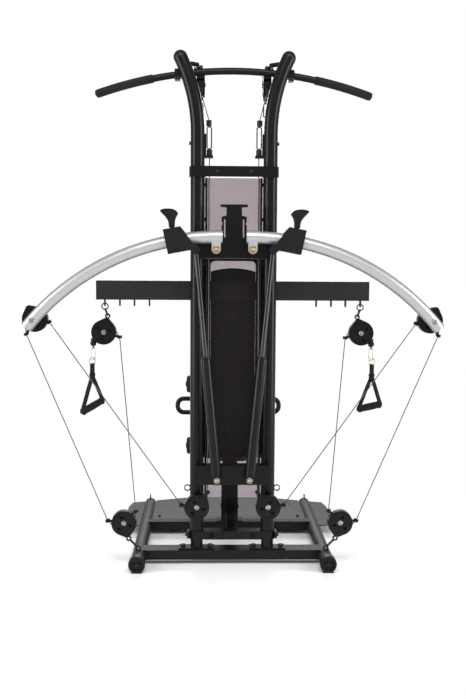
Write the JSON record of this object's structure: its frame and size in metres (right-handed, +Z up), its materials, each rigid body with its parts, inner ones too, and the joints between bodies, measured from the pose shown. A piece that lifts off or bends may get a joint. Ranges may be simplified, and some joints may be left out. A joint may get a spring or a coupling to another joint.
{
  "type": "multi station home gym",
  "caption": "Home gym with two curved power arms on gas springs, cable pulleys with stirrup handles, a twin-post mast with lat bar, a hook rail, and a bench with foam rollers.",
  "frame": {"origin": "on the floor, under the middle of the machine's outer box", "axes": "+Z up, +X to the right seen from the power-arm side, +Y from the power arms towards the bench"},
  "size_m": [1.703, 1.1, 2.0999],
  "materials": {
    "frame_black": "satin powder coat",
    "deck_grey": "satin powder coat",
    "arm_silver": "satin silver",
    "black_plastic": "satin moulded",
    "zinc": "zinc plated",
    "cable_steel": "coated wire rope",
    "rod_black": "polished black",
    "mesh_cloth": "open mesh",
    "vinyl": "soft vinyl",
    "foam": "closed-cell foam",
    "strap": "webbing"
  },
  "bodies": {
    "frame": {"side_tubes": "deck_grey", "cross_tubes": "frame_black", "end_caps": "black_plastic", "platform": "deck_grey", "bolts": "zinc", "stub_tubes": "frame_black", "lower_clamp": "frame_black", "upper_clamp": "frame_black", "mast_posts": "frame_black", "top_tubes": "frame_black", "hub_beam": "frame_black", "latch_plate": "frame_black", "hook_rail": "frame_black", "mesh_screen": "mesh_cloth", "mesh_rails": "frame_black", "spring_bracket": "frame_black", "pulley_housings": "black_plastic", "cable_docks": "frame_black", "cable_fittings": "black_plastic", "fixed_cables": "cable_steel", "top_brackets": "frame_black", "bench_frame": "frame_black", "back_board": "black_plastic", "back_pad": "vinyl", "thigh_rollers": "foam"},
    "seat": {"seat_post": "frame_black", "seat_pad": "vinyl"},
    "lat_bar": {"lat_bar": "frame_black", "lat_grips": "foam"},
    "leg_lever": {"leg_lever": "frame_black"},
    "arm_left": {"arm_left": "arm_silver", "arm_end_left": "black_plastic"},
    "clamp_left": {"clamp_left": "black_plastic"},
    "pull_lever_left": {"pull_lever_left": "black_plastic"},
    "spring_gland_left": {"spring_gland_left": "black_plastic"},
    "spring_cylinder_left": {"spring_cylinder_left": "frame_black"},
    "spring_rod_left": {"spring_rod_left": "rod_black"},
    "handle_left": {"handle_left": "strap"},
    "cable_inner_left": {"cable_inner_left": "cable_steel"},
    "cable_outer_left": {"cable_outer_left": "cable_steel"},
    "wheel_arm_left": {"wheel_arm_left": "black_plastic"},
    "wheel_inner_left": {"wheel_inner_left": "black_plastic"},
    "wheel_outer_left": {"wheel_outer_left": "black_plastic"},
    "wheel_storage_left": {"wheel_storage_left": "black_plastic"},
    "wheel_top_left": {"wheel_top_left": "black_plastic"},
    "arm_right": {"arm_right": "arm_silver", "arm_end_right": "black_plastic"},
    "clamp_right": {"clamp_right": "black_plastic"},
    "pull_lever_right": {"pull_lever_right": "black_plastic"},
    "spring_gland_right": {"spring_gland_right": "black_plastic"},
    "spring_cylinder_right": {"spring_cylinder_right": "frame_black"},
    "spring_rod_right": {"spring_rod_right": "rod_black"},
    "handle_right": {"handle_right": "strap"},
    "cable_inner_right": {"cable_inner_right": "cable_steel"},
    "cable_outer_right": {"cable_outer_right": "cable_steel"},
    "wheel_arm_right": {"wheel_arm_right": "black_plastic"},
    "wheel_inner_right": {"wheel_inner_right": "black_plastic"},
    "wheel_outer_right": {"wheel_outer_right": "black_plastic"},
    "wheel_storage_right": {"wheel_storage_right": "black_plastic"},
    "wheel_top_right": {"wheel_top_right": "black_plastic"}
  },
  "joints": [
    {"name": "arm_left", "type": "hinge", "parent": "frame", "child": "arm_left", "pos_m": [-0.0725, -0.507, 1.303], "axis": [0, 1, 0], "range_deg": [-28, 0], "stiffness_Nm_per_rad": 30, "springref_deg": 131.78},
    {"name": "clamp_left", "type": "hinge", "parent": "arm_left", "child": "clamp_left", "pos_m": [-0.066, -0.507, 0.376], "axis": [0, -1, 0], "range_deg": [0, 33]},
    {"name": "pull_lever_left", "type": "slide", "parent": "clamp_left", "child": "pull_lever_left", "axis": [-0.1788, 0, 0.9839], "range_m": [0, 0.008], "stiffness_N_per_m": 900, "springref_m": -0.004},
    {"name": "spring_cylinder_left", "type": "hinge", "parent": "frame", "child": "spring_cylinder_left", "pos_m": [-0.066, -0.507, 0.376], "axis": [0, -1, 0], "range_deg": [-0.5, 33.5]},
    {"name": "spring_gland_left", "type": "hinge", "parent": "spring_cylinder_left", "child": "spring_gland_left", "pos_m": [-0.066, -0.507, 0.376], "axis": [0, -1, 0], "range_deg": [-0.89, 0.3]},
    {"name": "spring_rod_left", "type": "slide", "parent": "spring_gland_left", "child": "spring_rod_left", "axis": [-0.0931, 0, 0.9957], "range_m": [-0.03947, 0.002]},
    {"name": "cable_inner_left", "type": "hinge", "parent": "frame", "child": "cable_inner_left", "pos_m": [-0.212, -0.442, 0.256], "axis": [0, -1, 0], "range_deg": [-2.03, 0.5], "deforming": ["cable_inner_left"]},
    {"name": "cable_outer_left", "type": "hinge", "parent": "frame", "child": "cable_outer_left", "pos_m": [-0.513, -0.442, 0.19], "axis": [0, -1, 0], "range_deg": [-14.14, 0.5], "deforming": ["cable_outer_left"]},
    {"name": "wheel_arm_left", "type": "hinge", "parent": "arm_left", "child": "wheel_arm_left", "pos_m": [-0.8, -0.442, 1.02], "axis": [0, 1, 0], "continuous": true},
    {"name": "wheel_inner_left", "type": "hinge", "parent": "frame", "child": "wheel_inner_left", "pos_m": [-0.147, -0.442, 0.248], "axis": [0, 1, 0], "continuous": true},
    {"name": "wheel_outer_left", "type": "hinge", "parent": "frame", "child": "wheel_outer_left", "pos_m": [-0.446, -0.442, 0.182], "axis": [0, 1, 0], "continuous": true},
    {"name": "wheel_storage_left", "type": "hinge", "parent": "frame", "child": "wheel_storage_left", "pos_m": [-0.535, -0.341, 0.961], "axis": [0, 1, 0], "continuous": true},
    {"name": "wheel_top_left", "type": "hinge", "parent": "frame", "child": "wheel_top_left", "pos_m": [-0.137, -0.255, 1.986], "axis": [1, 0, 0], "continuous": true},
    {"name": "handle_left", "type": "hinge", "parent": "frame", "child": "handle_left", "pos_m": [-0.579, -0.341, 0.8988], "axis": [0, -1, 0], "range_deg": [-14, 14]},
    {"name": "arm_right", "type": "hinge", "parent": "frame", "child": "arm_right", "pos_m": [0.0725, -0.507, 1.303], "axis": [0, -1, 0], "range_deg": [-28, 0], "stiffness_Nm_per_rad": 30, "springref_deg": 131.78},
    {"name": "clamp_right", "type": "hinge", "parent": "arm_right", "child": "clamp_right", "pos_m": [0.066, -0.507, 0.376], "axis": [0, 1, 0], "range_deg": [0, 33]},
    {"name": "pull_lever_right", "type": "slide", "parent": "clamp_right", "child": "pull_lever_right", "axis": [0.1788, 0, 0.9839], "range_m": [0, 0.008], "stiffness_N_per_m": 900, "springref_m": -0.004},
    {"name": "spring_cylinder_right", "type": "hinge", "parent": "frame", "child": "spring_cylinder_right", "pos_m": [0.066, -0.507, 0.376], "axis": [0, 1, 0], "range_deg": [-0.5, 33.5]},
    {"name": "spring_gland_right", "type": "hinge", "parent": "spring_cylinder_right", "child": "spring_gland_right", "pos_m": [0.066, -0.507, 0.376], "axis": [0, 1, 0], "range_deg": [-0.89, 0.3]},
    {"name": "spring_rod_right", "type": "slide", "parent": "spring_gland_right", "child": "spring_rod_right", "axis": [0.0931, 0, 0.9957], "range_m": [-0.03947, 0.002]},
    {"name": "cable_inner_right", "type": "hinge", "parent": "frame", "child": "cable_inner_right", "pos_m": [0.212, -0.442, 0.256], "axis": [0, 1, 0], "range_deg": [-2.03, 0.5], "deforming": ["cable_inner_right"]},
    {"name": "cable_outer_right", "type": "hinge", "parent": "frame", "child": "cable_outer_right", "pos_m": [0.513, -0.442, 0.19], "axis": [0, 1, 0], "range_deg": [-14.14, 0.5], "deforming": ["cable_outer_right"]},
    {"name": "wheel_arm_right", "type": "hinge", "parent": "arm_right", "child": "wheel_arm_right", "pos_m": [0.8, -0.442, 1.02], "axis": [0, 1, 0], "continuous": true},
    {"name": "wheel_inner_right", "type": "hinge", "parent": "frame", "child": "wheel_inner_right", "pos_m": [0.147, -0.442, 0.248], "axis": [0, 1, 0], "continuous": true},
    {"name": "wheel_outer_right", "type": "hinge", "parent": "frame", "child": "wheel_outer_right", "pos_m": [0.446, -0.442, 0.182], "axis": [0, 1, 0], "continuous": true},
    {"name": "wheel_storage_right", "type": "hinge", "parent": "frame", "child": "wheel_storage_right", "pos_m": [0.535, -0.341, 0.961], "axis": [0, 1, 0], "continuous": true},
    {"name": "wheel_top_right", "type": "hinge", "parent": "frame", "child": "wheel_top_right", "pos_m": [0.137, -0.255, 1.986], "axis": [1, 0, 0], "continuous": true},
    {"name": "handle_right", "type": "hinge", "parent": "frame", "child": "handle_right", "pos_m": [0.579, -0.341, 0.8988], "axis": [0, 1, 0], "range_deg": [-14, 14]},
    {"name": "lat_bar_lift", "type": "slide", "parent": "frame", "child": "lat_bar", "axis": [0, 0, 1], "range_m": [0, 0.01]},
    {"name": "seat_height", "type": "slide", "parent": "frame", "child": "seat", "axis": [0, 0, 1], "range_m": [-0.03, 0.06]},
    {"name": "leg_lever", "type": "hinge", "parent": "frame", "child": "leg_lever", "pos_m": [0, 0.445, 0.47], "axis": [1, 0, 0], "range_deg": [0, 95]}
  ],
  "couplings": [
    {"joint": "spring_cylinder_left", "follows": "clamp_left", "ratio": 1},
    {"joint": "spring_gland_left", "follows": "arm_left", "ratio": 0.021107},
    {"joint": "spring_rod_left", "follows": "arm_left", "m_per_rad": 0.076665},
    {"joint": "cable_inner_left", "follows": "arm_left", "ratio": 0.054532},
    {"joint": "cable_outer_left", "follows": "arm_left", "ratio": 0.48707},
    {"joint": "spring_cylinder_right", "follows": "clamp_right", "ratio": 1},
    {"joint": "spring_gland_right", "follows": "arm_right", "ratio": 0.021107},
    {"joint": "spring_rod_right", "follows": "arm_right", "m_per_rad": 0.076665},
    {"joint": "cable_inner_right", "follows": "arm_right", "ratio": 0.054532},
    {"joint": "cable_outer_right", "follows": "arm_right", "ratio": 0.48707}
  ]
}
